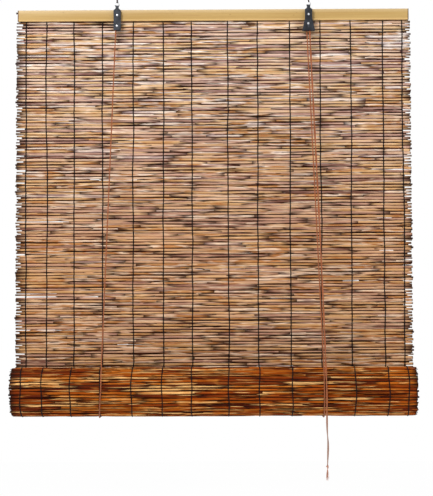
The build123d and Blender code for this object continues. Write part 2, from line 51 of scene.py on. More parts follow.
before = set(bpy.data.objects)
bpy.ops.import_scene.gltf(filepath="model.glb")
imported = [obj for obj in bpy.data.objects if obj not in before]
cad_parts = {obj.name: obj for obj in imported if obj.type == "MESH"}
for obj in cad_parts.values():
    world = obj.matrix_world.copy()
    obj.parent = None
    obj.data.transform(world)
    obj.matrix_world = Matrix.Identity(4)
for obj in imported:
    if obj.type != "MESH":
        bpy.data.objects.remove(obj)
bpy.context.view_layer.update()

# Everything below the bails is laid out upright, then leans about the bar of the bails
BAR = Vector((0, 0, -0.0339))
LEAN_ANGLE = math.radians(1.55)
LEAN = Matrix.Translation(BAR) @ Matrix.Rotation(LEAN_ANGLE, 4, "X") @ Matrix.Translation(-BAR)

# Places on the upright blind, in metres
MAT_Y = 0.0155
MAT_TOP, MAT_FOOT = -0.0502, -1.0072
RAIL_FOOT = -0.0719
ROLL_Y, ROLL_Z = -0.043, -1.0079

# The roll climbs by this much; rows above this height make the mat's upper band, those below it the lower
# band
BAND_EDGE = -0.2728

# Middles of the warp threads, in millimetres from the middle of the blind
THREAD_PLACES = (-475, -423, -353, -280, -202, -127, -54, 37, 113, 194, 272, 349, 431, 479)

# Lift cords: side, X of the back leg, how far right of it the cord lies under the roll and where
# its front leg ends, and where that leg leaves its block
LIFT_CORDS = (
    ("left", -0.2835, 0.0002, 0.0065, (-0.2465, -0.0001, -0.0968)),
    ("right", 0.2675, 0.005, 0.005, (0.2379, 0.0007, -0.1003)),
)
SLING_RADIUS = 0.06519
SLING_BENDS = 8
SLING_LIP_RISE = 0.004
BACK_LEG_Y = 0.02219
BACK_FOOT_RISE = 0.0003
KNOT_Z = -0.0487

# Control points of the pull cord, from the lock to the top of the knot
PULL_ROUTE = (
    (0.24508, -0.00195, -0.1003),
    (0.2456, -0.004, -0.122),
    (0.2682, -0.0731, -0.7),
    (0.2764, -0.106, -0.975),
    (0.277, -0.109, -1.004),
    (0.2772, -0.109, -1.033),
    (0.277, -0.109, -1.1042),
    (0.2796, -0.1098, -1.132),
    (0.2792, -0.1084, -1.16),
    (0.2776, -0.109, -1.1886),
)
# The tail of the pull cord, which the hand pulls, starts at this point
PULL_TAIL_TOP = (0.277, -0.109, -1.1036)
KNOT_TOP = (0.2776, -0.109, -1.1889)
# Control points of the knot, in metres from its top
KNOT_TURNS = (
    (0, 0, 0.001),
    (0.0022, -0.0018, -0.0012),
    (0.0005, -0.0026, -0.0034),
    (-0.0023, -0.0006, -0.003),
    (-0.0012, 0.0022, -0.0012),
    (0.002, 0.0016, -0.0028),
    (0.0014, -0.0012, -0.0054),
    (0, 0, -0.0072),
)

# Lamps: name, place, width in metres and power in watts
LAMPS = (
    ("key_lamp", (-1.2, -2.4, 1.4), 1.0, 76),
    ("fill_lamp", (2.2, -2.8, -0.4), 1.8, 20),
    ("back_lamp", (0.9, 3.0, 0.9), 2.4, 50),
)
LAMP_AIM = (0, 0, -0.6)


def leaning(point):
    """A point of the upright blind, where it lies once the blind leans."""
    return tuple(LEAN @ Vector(point))


def shade(red, green, blue):
    """A colour in linear light from its screen values, 0 to 255."""
    return tuple(((value / 255 + 0.055) / 1.055) ** 2.4 for value in (red, green, blue)) + (1.0,)


def metres(name, description, default):
    """A setting with a length in metres."""
    return bpy.props.FloatProperty(name=name, description=description, default=default, unit="LENGTH")


def amount(name, description, default):
    """A setting with a plain number."""
    kind = bpy.props.IntProperty if isinstance(default, int) else bpy.props.FloatProperty
    return kind(name=name, description=description, default=default)


class MatSettings(bpy.types.PropertyGroup):
    """Sizes of the reeds that the mat is woven of."""

    pitch: metres("Row pitch", "Height of one row of reeds", 0.0076)
    depth: metres("Reed depth", "Thickness of a reed, front to back", 0.0062)
    reed_length: metres("Reed length", "Usual length of one split reed", 0.17)
    half_width: metres("Half width", "Half the width of the mat", 0.5)
    slivers: amount("Slivers", "Slivers over the front of each row; the back has half as many", 12)
    light_gaps: amount("Light gaps", "Share of the joints between rows that let light through", 0.025)
    seed: amount("Seed", "Start of the random choices", 4)


class RollSettings(bpy.types.PropertyGroup):
    """Sizes of the rolled-up part of the mat."""

    radius: metres("Radius", "Radius of the outer turn", 0.0631)
    turn_pitch: metres("Turn pitch", "Distance between turns", 0.0085)
    half_turns: amount("Half turns", "Half turns of mat on the roll", 11)
    reed_length: metres("Reed length", "Usual length of a reed that shows on the roll", 0.15)
    slivers: amount("Slivers", "Slivers over each row of the outer turn", 12)
    stub: metres("Inner reed length", "How deep the inner turns are modelled at each end", 0.045)


class CordSettings(bpy.types.PropertyGroup):
    """Sizes of the lift cords and of the pull cord."""

    lift: metres("Lift cord", "Diameter of a lift cord", 0.0032)
    pull: metres("Pull cord", "Diameter of the pull cord, both strands together", 0.0044)
    lay: amount("Lay", "Length of one turn of a lift cord's strands, in diameters", 4.5)
    pull_lay: amount("Pull lay", "Length of one turn of the pull cord's strands, in diameters", 30.0)
    sling_rise: metres("Sling rise", "How far up the front a sling reaches before its leg starts", 0.03)


class StageSettings(bpy.types.PropertyGroup):
    """Camera and floor."""

    camera: bpy.props.FloatVectorProperty(
        name="Camera place", default=(0.0601, -4.5, -1.0226), unit="LENGTH"
    )
    turn: bpy.props.FloatVectorProperty(
        name="Camera turn",
        description="Pitch, yaw and roll of the camera, in degrees",
        default=(4.71, -0.67, -0.17),
    )
    lens: amount("Lens", "Focal length in mm", 130.67)
    floor: metres("Floor", "Height of the floor below the hooks", -1.9)


class BlindSettings(bpy.types.PropertyGroup):
    """All settings of the blind."""

    mat: bpy.props.PointerProperty(type=MatSettings)
    roll: bpy.props.PointerProperty(type=RollSettings)
    cord: bpy.props.PointerProperty(type=CordSettings)
    stage: bpy.props.PointerProperty(type=StageSettings)


# Materials


class Finish:
    """A material built node by node round one Principled shader."""

    def __init__(self, name, roughness=0.6, metallic=0.0):
        self.material = bpy.data.materials.new(name)
        self.material.use_nodes = True
        self.tree = self.material.node_tree
        self.shader = self.tree.nodes["Principled BSDF"]
        self.shader.inputs["Metallic"].default_value = metallic
        self.shader.inputs["Roughness"].default_value = roughness

    def add(self, kind, feeds=None, **settings):
        """Add a node, set its properties and feed its sockets with values or other sockets."""
        node = self.tree.nodes.new("ShaderNode" + kind)
        for name, value in settings.items():
            setattr(node, name, value)
        for socket, value in (feeds or {}).items():
            self.feed(node.inputs[socket], value)
        return node

    def feed(self, socket, value):
        """Give a socket a value, or link it to another socket."""
        if isinstance(value, bpy.types.NodeSocket):
            self.tree.links.new(value, socket)
        else:
            socket.default_value = value

    def noise(self, scale, stretch=(1, 1, 1), detail=3.0):
        """A noise value from 0 to 1 on stretched Object coordinates."""
        coordinates = self.add("TexCoord").outputs["Object"]
        place = self.add("Mapping", {"Vector": coordinates, "Scale": stretch}).outputs[0]
        return self.add("TexNoise", {"Vector": place, "Scale": scale, "Detail": detail}).outputs[0]

    def ramp(self, value, *stops):
        """A colour ramp: each stop is a place and a colour."""
        node = self.add("ValToRGB", {"Fac": value})
        elements = node.color_ramp.elements
        while len(elements) < len(stops):
            elements.new(1.0)
        for element, (place, colour) in zip(elements, stops):
            element.position = place
            element.color = colour
        return node.outputs[0]

    def mix(self, share, below, above, blend="MIX"):
        """One colour over another."""
        node = self.add("Mix", {0: share, 6: below, 7: above}, data_type="RGBA", blend_type=blend)
        return node.outputs[2]

    def math(self, operation, first, second=0.0):
        """A number from one or two numbers."""
        return self.add("Math", {0: first, 1: second}, operation=operation).outputs[0]

    def fit(self, value, low, high, to_low=0.0, to_high=1.0):
        """A number moved from one range to another."""
        feeds = {0: value, 1: low, 2: high, 3: to_low, 4: to_high}
        return self.add("MapRange", feeds).outputs[0]

    def attribute(self, name):
        """A number stored on the mesh."""
        return self.add("Attribute", attribute_name=name).outputs["Fac"]

    def along(self, axis):
        """A point's place along X, Y or Z, in metres."""
        coordinates = self.add("TexCoord").outputs["Object"]
        return self.add("SeparateXYZ", {0: coordinates}).outputs[axis]

    def finish(self, colour, roughness=None, bump=None):
        """Feed the shader and return the material; a bump is a height, strength and distance."""
        self.feed(self.shader.inputs["Base Color"], colour)
        if roughness is not None:
            self.feed(self.shader.inputs["Roughness"], roughness)
        if bump is not None:
            feeds = dict(zip(("Height", "Strength", "Distance"), bump))
            self.feed(self.shader.inputs["Normal"], self.add("Bump", feeds).outputs[0])
        return self.material


# Heights between which the hanging mat is painted darker towards its lower part: painted shade
LOW_TINT_FADE = (-0.15, -0.63)
END_DARKNESS = 0.9


def reed_finish(name, stops, end_colour, dark_fibre, pale_fibre, low_tint=None):
    """Split reed: each one its own tint, fibres along X, pale blotches, dark ends painted as the shade
    where reeds meet, and painted shade towards the lower part when a low shade is given.
    """
    reed = Finish(name)
    reed.shader.inputs["Specular IOR Level"].default_value = 0.06
    tint = reed.attribute("tint")
    fibres = reed.noise(260, (0.035, 1, 1), detail=4)
    patches = reed.noise(30, (0.6, 1, 4), detail=2)
    blotches = reed.noise(130, (0.22, 1, 1), detail=1)
    wander = reed.math("ADD", tint, reed.fit(patches, 0.3, 0.7, -0.12, 0.12))
    colour = reed.ramp(wander, *stops)
    colour = reed.mix(reed.fit(fibres, 0.4, 0.7, 0.0, 0.45), colour, dark_fibre)
    colour = reed.mix(reed.fit(fibres, 0.42, 0.22, 0.0, 0.35), colour, pale_fibre)
    colour = reed.mix(reed.fit(blotches, 0.42, 0.28, 0.0, 0.4), colour, pale_fibre)
    # Painted shade: each reed darkens at its ends, where it meets the next
    end = reed.math("MULTIPLY", reed.attribute("end"), END_DARKNESS)
    colour = reed.mix(end, colour, end_colour)
    # Painted shade: the colour is multiplied darker towards the lower part of the mat
    if low_tint:
        share = reed.fit(reed.along("Z"), *LOW_TINT_FADE)
        colour = reed.mix(share, colour, low_tint, blend="MULTIPLY")
    rough = reed.fit(fibres, 0.2, 0.8, 0.42, 0.72)
    return reed.finish(colour, rough, bump=(fibres, 0.35, 0.0005))


def mat_finish():
    """The hanging mat: tan and straw reeds, mauve tints that paint the bluish cast of the light, cream
    tints that are painted highlights, and pale colours that partly paint light shining through the reeds.
    """
    stops = (
        (0.00, shade(24, 6, 0)),
        (0.07, shade(82, 36, 16)),
        (0.20, shade(160, 124, 116)),
        (0.36, shade(208, 172, 157)),
        (0.52, shade(228, 194, 165)),
        (0.68, shade(228, 191, 142)),
        (0.80, shade(196, 138, 84)),
        (0.90, shade(255, 242, 230)),
        (1.00, shade(186, 164, 166)),
    )
    fibres = (shade(92, 46, 24), shade(255, 238, 216))
    return reed_finish("split_reed", stops, shade(36, 14, 6), *fibres, low_tint=shade(235, 215, 193))


def roll_finish():
    """The roll: the reeds' shiny outer side, orange-brown to dark brown with pale streaks, without the
    painted light through the reeds that the mat's colours carry.
    """
    stops = (
        (0.00, shade(28, 3, 0)),
        (0.12, shade(80, 22, 0)),
        (0.34, shade(130, 50, 2)),
        (0.56, shade(166, 76, 8)),
        (0.74, shade(196, 110, 30)),
        (0.88, shade(250, 196, 124)),
        (1.00, shade(90, 34, 6)),
    )
    fibres = (shade(70, 26, 6), shade(206, 138, 62))
    return reed_finish("rolled_reed", stops, shade(30, 11, 5), *fibres)


# Where the rail's pale edges and dark end marks start and are full
RAIL_TOP_FADE = (-0.054, -0.0445)
RAIL_FOOT_FADE = (-0.066, -0.0712)
RAIL_END_FADE = (0.4930, 0.4946)


def rail_finish():
    """Planed bamboo rail: golden, fine fibres along its length, paler edges and dark ends."""
    rail = Finish("rail_bamboo", roughness=0.45)
    fibres = rail.noise(420, (0.02, 1, 1), detail=5)
    clouds = rail.noise(5, (0.5, 1, 4), detail=2)
    specks = rail.noise(160, (0.5, 1, 1), detail=1)
    colour = rail.ramp(clouds, (0.3, shade(188, 155, 92)), (0.7, shade(174, 139, 74)))
    colour = rail.mix(rail.fit(fibres, 0.45, 0.8, 0.0, 0.5), colour, shade(160, 116, 58))
    top = rail.fit(rail.along("Z"), *RAIL_TOP_FADE, 0.0, 0.55)
    colour = rail.mix(top, colour, shade(214, 190, 146))
    foot = rail.fit(rail.along("Z"), *RAIL_FOOT_FADE, 0.0, 0.5)
    colour = rail.mix(foot, colour, shade(240, 200, 134))
    colour = rail.mix(rail.fit(specks, 0.74, 0.8, 0.0, 0.6), colour, shade(120, 78, 36))
    away = rail.math("ABSOLUTE", rail.along("X"))
    colour = rail.mix(rail.fit(away, *RAIL_END_FADE), colour, shade(74, 44, 30))
    rough = rail.fit(fibres, 0.2, 0.8, 0.35, 0.55)
    return rail.finish(colour, rough, bump=(fibres, 0.2, 0.0003))


def block_finish():
    """Stoved black enamel with a bluish sheen, a few scuffs and dust."""
    block = Finish("black_enamel", metallic=0.3)
    block.shader.inputs["Coat Weight"].default_value = 0.25
    block.shader.inputs["Coat Roughness"].default_value = 0.3
    clouds = block.noise(60, detail=3)
    scuffs = block.noise(240, (1, 1, 0.25), detail=4)
    colour = block.ramp(clouds, (0.35, shade(20, 23, 30)), (0.7, shade(38, 43, 54)))
    colour = block.mix(block.fit(scuffs, 0.62, 0.8, 0.0, 0.5), colour, shade(128, 134, 146))
    rough = block.fit(clouds, 0.3, 0.7, 0.3, 0.5)
    return block.finish(colour, rough, bump=(scuffs, 0.12, 0.0002))


def metal_finish(name, light, dark, roughness):
    """Plated or drawn steel with fine handling marks."""
    metal = Finish(name, metallic=1.0)
    marks = metal.noise(500, (1, 1, 0.2), detail=3)
    colour = metal.ramp(marks, (0.3, dark), (0.65, light))
    rough = metal.fit(marks, 0.2, 0.8, roughness, roughness + 0.2)
    return metal.finish(colour, rough, bump=(marks, 0.1, 0.0001))


# Heights between which the pull cord, below the roll, gets its worn colour
WORN_FADE = (-1.06, -1.1)


def cord_finish(name, light, dark, worn=None):
    """Twisted synthetic cord with a soft sheen, worn paler where hands pull it below the roll."""
    cord = Finish(name, roughness=0.7)
    cord.shader.inputs["Sheen Weight"].default_value = 0.1
    fibres = cord.noise(900, (1, 1, 0.4), detail=3)
    patches = cord.noise(25, detail=2)
    colour = cord.ramp(fibres, (0.3, dark), (0.6, light))
    colour = cord.mix(cord.fit(patches, 0.4, 0.7, 0.0, 0.3), colour, dark)
    if worn:
        colour = cord.mix(cord.fit(cord.along("Z"), *WORN_FADE), colour, worn)
    return cord.finish(colour, bump=(fibres, 0.4, 0.0003))


def copper_cord():
    """The finish of the lift cords and of the pull cord."""
    found = bpy.data.materials.get("twisted_cord")
    colours = (shade(176, 98, 50), shade(114, 58, 28), shade(160, 122, 104))
    return found or cord_finish("twisted_cord", *colours)


def thread_finish():
    """Black waxed warp thread."""
    thread = Finish("warp_thread", roughness=0.8)
    thread.shader.inputs["Specular IOR Level"].default_value = 0.2
    fibres = thread.noise(1500, detail=2)
    colour = thread.ramp(fibres, (0.3, shade(4, 2, 4)), (0.7, shade(14, 10, 12)))
    return thread.finish(colour, bump=(fibres, 0.3, 0.0002))


# Modelling helpers


# Angles in degrees up to which faces are shaded as one
REED_SMOOTHING = 75
ROPE_SMOOTHING = 60
# Share of a reed's half length at each end that is painted dark, as the shade where reeds meet
DARK_END_SHARE = 0.07


def start_clean():
    """Leave edit mode and deselect everything."""
    if bpy.context.object and bpy.context.object.mode != "OBJECT":
        bpy.ops.object.mode_set(mode="OBJECT")
    bpy.ops.object.select_all(action="DESELECT")


def pick(mesh, chosen):
    """In object mode, select just the vertices whose place passes a test."""
    for part in (mesh.polygons, mesh.edges):
        part.foreach_set("select", [False] * len(part))
    for vertex in mesh.vertices:
        vertex.select = chosen(vertex.co)


def split_stem(name, sides, profile):
    """A stem along X, one unit long: a cylinder cut into rings, each with a thickness and a lift."""
    start_clean()
    bpy.ops.mesh.primitive_cylinder_add(
        vertices=sides, radius=1, depth=1, rotation=(0, math.pi / 2, 0), end_fill_type="TRIFAN"
    )
    stem = bpy.context.object
    stem.name = name
    bpy.ops.object.transform_apply(rotation=True)
    mesh = stem.data
    pick(mesh, lambda place: False)
    for edge in mesh.edges:
        first, last = (mesh.vertices[index].co.x for index in edge.vertices)
        edge.select = abs(first - last) > 0.5
    bpy.context.tool_settings.mesh_select_mode = (False, True, False)
    bpy.ops.object.mode_set(mode="EDIT")
    bpy.ops.mesh.subdivide(number_cuts=len(profile) - 2)
    bpy.ops.mesh.select_mode(type="VERT")
    for number, (thickness, lift) in enumerate(profile):
        place = number / (len(profile) - 1) - 0.5
        bpy.ops.object.mode_set(mode="OBJECT")
        pick(mesh, lambda point: abs(point.x - place) < 0.01)
        bpy.ops.object.mode_set(mode="EDIT")
        bpy.ops.transform.resize(value=(1, thickness, thickness), center_override=(place, 0, 0))
        bpy.ops.transform.translate(value=(0, 0, lift))
    bpy.ops.object.mode_set(mode="OBJECT")
    return stem


def lay_out(name, master, places, tints=None):
    """One mesh of many copies of a piece: each place is an origin and four vectors in metres.

    The vectors say where the master's X, Y and Z go, and how far its middle bows."""
    source = master.data
    points = np.empty(len(source.vertices) * 3)
    source.vertices.foreach_get("co", points)
    points = points.reshape(-1, 3)
    origin, along, side, up, bow = np.array(places, float).transpose(1, 0, 2)
    spots = origin[:, None] + points[None, :, 0, None] * along[:, None]
    spots += points[None, :, 1, None] * side[:, None] + points[None, :, 2, None] * up[:, None]
    spots += (1 - 4 * points[None, :, 0, None] ** 2) * bow[:, None]
    faces = [list(face.vertices) for face in source.polygons]
    corners = np.concatenate(faces)
    totals = np.array([len(face) for face in faces])
    copies, size = len(places), len(points)
    shift = (np.arange(copies) * size)[:, None]
    mesh = bpy.data.meshes.new(name)
    mesh.vertices.add(copies * size)
    mesh.vertices.foreach_set("co", spots.ravel())
    mesh.loops.add(copies * len(corners))
    mesh.loops.foreach_set("vertex_index", (corners[None] + shift).ravel().astype(np.int32))
    mesh.polygons.add(copies * len(totals))
    totals = np.tile(totals, copies)
    starts = np.concatenate(([0], np.cumsum(totals)[:-1]))
    mesh.polygons.foreach_set("loop_start", starts.astype(np.int32))
    mesh.update(calc_edges=True)
    if tints:
        dark = np.clip((np.abs(points[:, 0]) * 2 - 1) / DARK_END_SHARE + 1, 0, 1)
        layers = {"tint": np.repeat(np.array(tints, float), size), "end": np.tile(dark, copies)}
        for label, values in layers.items():
            mesh.attributes.new(label, "FLOAT", "POINT").data.foreach_set("value", values)
    return keep_mesh(name, mesh, REED_SMOOTHING)


def keep_mesh(name, mesh, angle):
    """Let a mesh lean, and put it in the scene as a piece, shaded smooth up to an angle in degrees."""
    mesh.transform(LEAN)
    piece = bpy.data.objects.new(name, mesh)
    bpy.context.scene.collection.objects.link(piece)
    start_clean()
    piece.select_set(True)
    bpy.context.view_layer.objects.active = piece
    bpy.ops.object.shade_smooth_by_angle(angle=math.radians(angle))
    return piece


def dress(piece, material, slot, *nodes):
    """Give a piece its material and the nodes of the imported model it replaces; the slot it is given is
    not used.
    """
    piece.data.materials.clear()
    piece.data.materials.append(material)
    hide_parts(*nodes)


def paint(material, *nodes):
    """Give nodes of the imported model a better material."""
    for name in nodes:
        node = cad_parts[name]
        for place in node.material_slots:
            place.material = material


# Reeds


# Thickness and lift of each ring of a stem, as shares of its radius
REED_THICKNESSES = (0.8, 0.94, 1.0, 0.96, 1.04, 0.96, 0.9, 0.74)
REED_RINGS = tuple(zip(REED_THICKNESSES, (0, 0.03, -0.02, 0.02, 0, -0.03, 0, 0)))
SLIVER_RINGS = ((0.6, 0), (0.95, 0.1), (1.0, -0.1), (0.9, 0.1), (0.35, 0))
PLAIN_RINGS = ((0.9, 0), (1.0, 0), (0.9, 0))
STITCH_RINGS = ((0.9, 0), (1.1, 0), (0.9, 0))
DISC_RINGS = ((0.99, 0), (1.0, 0), (0.99, 0))

# A reed's length as a share of the usual one, and how far its tip overlaps the next
REED_LENGTHS = (0.55, 1.6)
TIP_OVERLAP = (0.004, 0.03)
SHORTEST_REED = 0.02
LAST_REED_SHARE = 0.3
# A shade strip's extra length, and half its height; shade strips are dark strips of painted shade in the
# joints between rows
CORE_OVERLAP = 0.012
CORE_HEIGHT = 0.0026


def chain_of_reeds(chance, half_width, usual, uneven):
    """Middles and lengths of the reeds of one row, laid end to end with overlapping tips."""
    x = -half_width + chance.uniform(-uneven, uneven)
    far = half_width + chance.uniform(-uneven, uneven)
    while x < far - SHORTEST_REED:
        length = usual * chance.uniform(*REED_LENGTHS)
        end = x + length
        if end > far - LAST_REED_SHARE * usual:
            end = far
        yield (x + end) / 2, end - x
        x = end - chance.uniform(*TIP_OVERLAP)


def either(chance, *ranges):
    """A number from one of several ranges."""
    return chance.choice([chance.uniform(*limits) for limits in ranges])


def lay_reed(chance, middle, length, thickness, height, slope, bow, across=((0, 1, 0), (0, 0, 1))):
    """The place of one reed: a little askew, bowed, and either end first.

    Its thickness and height lie along the two directions across it."""
    outward, onward = (Vector(direction) for direction in across)
    flip = chance.choice((-1, 1))
    return (
        middle,
        Vector((flip * length, 0, 0)) + onward * chance.uniform(-slope, slope),
        flip * outward * thickness,
        onward * height,
        onward * chance.uniform(-bow, bow),
    )


def reed_masters():
    """The three shapes that all reeds are copied from: a reed, a sliver and a plain strip laid in the
    joints as painted shade.
    """
    return (
        split_stem("reed_shape", 7, REED_RINGS),
        split_stem("sliver_shape", 5, SLIVER_RINGS),
        split_stem("core_shape", 4, PLAIN_RINGS),
    )


def lay_kinds(name, masters, kinds):
    """One piece of all the reeds, slivers and shade strips: each is a place and a tint."""
    pieces = []
    for master, laid in zip(masters, kinds):
        places, tints = zip(*laid)
        pieces.append(lay_out(name if not pieces else master.name, master, places, tints))
    return join(pieces)


def join(pieces):
    """Make several pieces one, the first."""
    start_clean()
    for piece in pieces:
        piece.select_set(True)
    bpy.context.view_layer.objects.active = pieces[0]
    bpy.ops.object.join()
    return pieces[0]


def hang(band, is_lower):
    """Let a band of the mat ride on the head; the lower one first gets a mesh of its own."""
    if is_lower:
        top = leaning((0, MAT_Y, BAND_EDGE))
        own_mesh(band)
    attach(band, "head")


def remove(*pieces):
    """Delete shapes that were only copied from."""
    for piece in pieces:
        bpy.data.meshes.remove(piece.data)


class BLIND_OT_weave_mat(bpy.types.Operator):
    """Weave the hanging part of the mat from split reeds"""

    bl_idname = "reed_blind.weave_mat"
    bl_label = "Hanging Mat"

    # How far rows behind the rail stop short; how uneven and how far out of place reeds lie
    rail_inset, uneven, sway_y, sway_z = 0.005, 0.0016, 0.0008, 0.0005
    # Heights of thin and thick reeds in half pitches, and the tint of the darkest
    reed_heights, lowest_tint = ((0.6, 0.78), (0.86, 1.04)), 0.15
    # Most slope and most bow of reeds, shade strips and slivers
    reed_bend, core_bend, sliver_bend = (0.0014, 0.00049), (0.0005, 0.000175), (0.0032, 0.00112)
    # Dark strips of painted shade in the joints: how far inside the mat's edge they stay, their length
    # and half thickness
    core_inset, core_uneven, core_length, core_depth = 0.016, 0.014, 0.15, 0.0009
    core_tints = (0.0, 0.02, 0.05, 0.12)
    # Slivers: lengths and half heights of the dark ones, which are painted shade, and of the pale ones,
    # partly painted highlights; offsets in half pitches
    dark_sliver, pale_sliver = ((0.02, 0.13), (0.0006, 0.0013)), ((0.03, 0.18), (0.0007, 0.0018))
    sliver_offset, sliver_sink, sliver_depth = (0.7, 1.05), 0.001, 0.0011

    def execute(self, context):
        settings = context.scene.reed_blind.mat
        chance = random.Random(settings.seed)
        masters = reed_masters()
        rows = int(round((MAT_TOP - MAT_FOOT) / settings.pitch))
        bands = {name: ([], [], []) for name in ("reed_band_upper", "reed_band_lower")}
        for row in range(rows):
            z = MAT_FOOT + (row + 0.5) * settings.pitch
            band = bands["reed_band_upper" if z > BAND_EDGE else "reed_band_lower"]
            self.lay_row(chance, settings, z, band)
        finish = mat_finish()
        for name, kinds in bands.items():
            piece = lay_kinds(name, masters, kinds)
            dress(piece, finish, "reed", "hanging_mat")
            hang(piece, name == "reed_band_lower")
        remove(*masters)
        return {"FINISHED"}

    def lay_row(self, chance, settings, z, band):
        """One row: reeds end to end, dark strips of painted shade in the joint above, and slivers over
        both faces, the dark ones painted shade and the pale ones partly painted highlights.
        """
        reeds, slivers, cores = band
        half_pitch = settings.pitch / 2
        thickness = settings.depth / 2
        half_width = settings.half_width - (self.rail_inset if z > RAIL_FOOT else 0.0)
        for x, length in chain_of_reeds(chance, half_width, settings.reed_length, self.uneven):
            height = half_pitch * either(chance, *self.reed_heights)
            y = MAT_Y + chance.uniform(-self.sway_y, self.sway_y)
            middle = (x, y, z + chance.uniform(-self.sway_z, self.sway_z))
            place = lay_reed(chance, middle, length, thickness, height, *self.reed_bend)
            tint = self.lowest_tint + (1 - self.lowest_tint) * chance.betavariate(2.4, 2.2)
            reeds.append((place, tint))
        # Dark strips of painted shade in the joint above, left out where light comes through
        core_reach = settings.half_width - self.core_inset
        for x, length in chain_of_reeds(chance, core_reach, self.core_length, self.core_uneven):
            if chance.random() > settings.light_gaps:
                middle, length = (x, MAT_Y, z + half_pitch), length + CORE_OVERLAP
                place = lay_reed(chance, middle, length, self.core_depth, CORE_HEIGHT, *self.core_bend)
                cores.append((place, chance.choice(self.core_tints)))
        for face, count in ((-1, settings.slivers), (1, settings.slivers // 2)):
            y = MAT_Y + face * (thickness - self.sliver_sink)
            for number in range(count):
                # Dark slivers near the joints are painted shade; a pale one takes either the cream tint
                # of a painted highlight or a reed's own random tint
                dark = number % 2 == 0
                lengths, heights = self.dark_sliver if dark else self.pale_sliver
                length, height = chance.uniform(*lengths), chance.uniform(*heights)
                x = chance.uniform(-1, 1) * (settings.half_width - length / 2)
                offset = half_pitch * chance.choice((-1, 1)) * chance.uniform(*self.sliver_offset)
                middle = (x, y, z + offset)
                place = lay_reed(chance, middle, length, self.sliver_depth, height, *self.sliver_bend)
                tint = chance.uniform(0, 0.06) if dark else chance.choice((0.9, chance.betavariate(2, 2)))
                slivers.append((place, tint))


class BLIND_OT_lay_threads(bpy.types.Operator):
    """Twine the warp threads round the reeds of the hanging mat"""

    bl_idname = "reed_blind.lay_threads"
    bl_label = "Warp Threads"

    # A thread's drift from one row to the next, and the share of it that carries on
    drift_step, drift_kept = 0.0005, 0.95
    # A strand's shape; its reach is in pitches
    half_width, half_thickness, reach = 0.0013, 0.00065, 1.06
    slant, bow, sink = 0.0006, 0.0009, 0.0002

    def execute(self, context):
        settings = context.scene.reed_blind.mat
        chance = random.Random(settings.seed + 1)
        stitch = split_stem("stitch_shape", 5, STITCH_RINGS)
        rows = int((RAIL_FOOT - MAT_FOOT) / settings.pitch)
        bands = {"warp_band_upper": [], "warp_band_lower": []}
        for middle in THREAD_PLACES:
            drift = 0.0
            for row in range(rows):
                z = MAT_FOOT + (row + 0.5) * settings.pitch
                drift = self.drift_kept * drift + chance.uniform(-self.drift_step, self.drift_step)
                band = bands["warp_band_upper" if z > BAND_EDGE else "warp_band_lower"]
                for face in (-1, 1):
                    for lean in (-1, 1):
                        self.stitch(band, settings, middle / 1000 + drift, z, face, lean)
        finish = thread_finish()
        for name, places in bands.items():
            threads = lay_out(name, stitch, places)
            dress(threads, finish, "black_thread", "warp_threads")
            hang(threads, name == "warp_band_lower")
        remove(stitch)
        return {"FINISHED"}

    def stitch(self, band, settings, x, z, face, lean):
        """One strand over one reed, from the gap below to the gap above."""
        middle = (x, MAT_Y + face * (settings.depth / 2 - self.sink), z)
        along = (lean * self.slant, 0, settings.pitch * self.reach)
        sizes = ((self.half_width, 0, 0), (0, self.half_thickness, 0))
        band.append((middle, along, *sizes, (0, face * self.bow, 0)))


